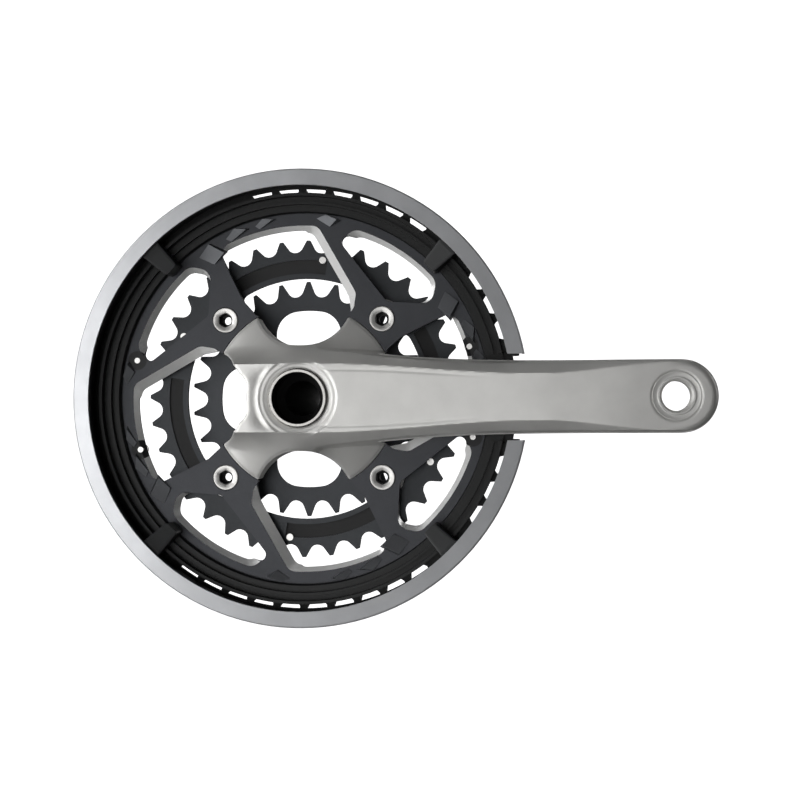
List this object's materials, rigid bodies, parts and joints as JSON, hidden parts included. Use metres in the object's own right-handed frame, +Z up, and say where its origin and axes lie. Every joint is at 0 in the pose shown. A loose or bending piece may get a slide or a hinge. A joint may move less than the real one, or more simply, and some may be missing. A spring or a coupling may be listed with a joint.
{
  "type": "bicycle crankset",
  "caption": "Drive-side crank arm with a hollow axle, triple chainrings and a chain guard, turning in a threaded external bottom bracket.",
  "frame": {"origin": "middle of the bottom bracket shell, on the axle's axis", "axes": "+X along the crank arm towards the pedal at rest, -Y out of the drive side, +Z up"},
  "size_m": [0.2933, 0.1545, 0.2096],
  "materials": {
    "arm_silver": "satin silver anodised",
    "axle_steel": "turned steel",
    "ring_anthracite": "dark anodised with bright machined bevels",
    "middle_ring_dark": "dark coated",
    "inner_ring_dark": "dark plated steel",
    "bolt_steel": "bright plated",
    "nut_steel": "plated",
    "pin_steel": "plated",
    "guard_black": "moulded, fine texture",
    "band_silver": "silver coated, satin",
    "screw_steel": "plated",
    "cup_dark": "dark anodised",
    "spacer_grey": "plain turned",
    "sleeve_black": "moulded",
    "seal_rubber": "matte",
    "race_steel": "ground",
    "ball_steel": "polished",
    "cage_plastic": "moulded",
    "cover_black": "moulded"
  },
  "bodies": {
    "bottom_bracket": {"right_cup": "cup_dark", "left_cup": "cup_dark", "right_spacers": "spacer_grey", "left_spacer": "spacer_grey", "inner_sleeve": "sleeve_black", "sleeve_o_rings": "seal_rubber", "right_outer_race": "race_steel", "left_outer_race": "race_steel", "right_seal": "seal_rubber", "left_seal": "seal_rubber"},
    "crank": {"crank_arm": "arm_silver", "axle": "axle_steel", "outer_chainring": "ring_anthracite", "middle_chainring": "middle_ring_dark", "inner_chainring": "inner_ring_dark", "chainring_bolts": "bolt_steel", "chainring_sleeve_nuts": "nut_steel", "inner_ring_bolts": "bolt_steel", "outer_shift_pins": "pin_steel", "middle_shift_pins": "pin_steel", "chain_drop_pin": "pin_steel", "guard_carrier": "guard_black", "guard_band": "band_silver", "guard_screws": "screw_steel", "right_inner_race": "race_steel", "left_inner_race": "race_steel", "right_inner_cover": "cover_black", "left_inner_cover": "cover_black"},
    "right_ball_set": {"right_balls": "ball_steel", "right_cage": "cage_plastic"},
    "left_ball_set": {"left_balls": "ball_steel", "left_cage": "cage_plastic"}
  },
  "joints": [
    {"name": "crank_spin", "type": "hinge", "parent": "bottom_bracket", "child": "crank", "pos_m": [0, 0, 0], "axis": [0, -1, 0], "continuous": true},
    {"name": "right_ball_orbit", "type": "hinge", "parent": "bottom_bracket", "child": "right_ball_set", "pos_m": [0, -0.045, 0], "axis": [0, -1, 0], "continuous": true},
    {"name": "left_ball_orbit", "type": "hinge", "parent": "bottom_bracket", "child": "left_ball_set", "pos_m": [0, 0.0425, 0], "axis": [0, -1, 0], "continuous": true}
  ],
  "couplings": [
    {"joint": "right_ball_orbit", "follows": "crank_spin", "ratio": 0.4435},
    {"joint": "left_ball_orbit", "follows": "crank_spin", "ratio": 0.4435}
  ]
}
